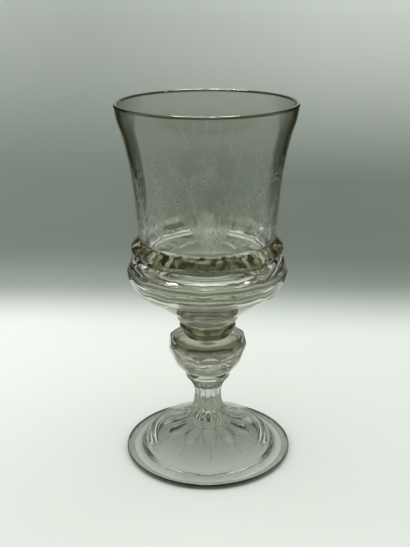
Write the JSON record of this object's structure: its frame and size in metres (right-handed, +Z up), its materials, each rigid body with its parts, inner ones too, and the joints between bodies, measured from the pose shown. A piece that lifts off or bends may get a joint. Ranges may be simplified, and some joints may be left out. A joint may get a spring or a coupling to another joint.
{
  "type": "drinking glass",
  "caption": "Stemmed drinking glass with a bell bowl on a hollow faceted bulb, a cut ring, a faceted knop, a fluted stem and a domed foot.",
  "frame": {"origin": "on the table, under the middle of the foot", "axes": "+Z up along the glass's own axis; the engraved flower spray faces -Y"},
  "size_m": [0.086, 0.0859, 0.18],
  "materials": {
    "clear_glass": "polished clear glass with a faint grey-olive tint, matte where it is engraved",
    "deep_glass": "polished glass, olive where it is thick, with cut facets and flutes"
  },
  "bodies": {
    "root": {"foot": "clear_glass", "stem": "deep_glass", "knop": "deep_glass", "neck_ring": "deep_glass", "merese": "deep_glass", "bowl_base": "deep_glass", "bowl": "clear_glass", "collar": "deep_glass"}
  },
  "joints": []
}
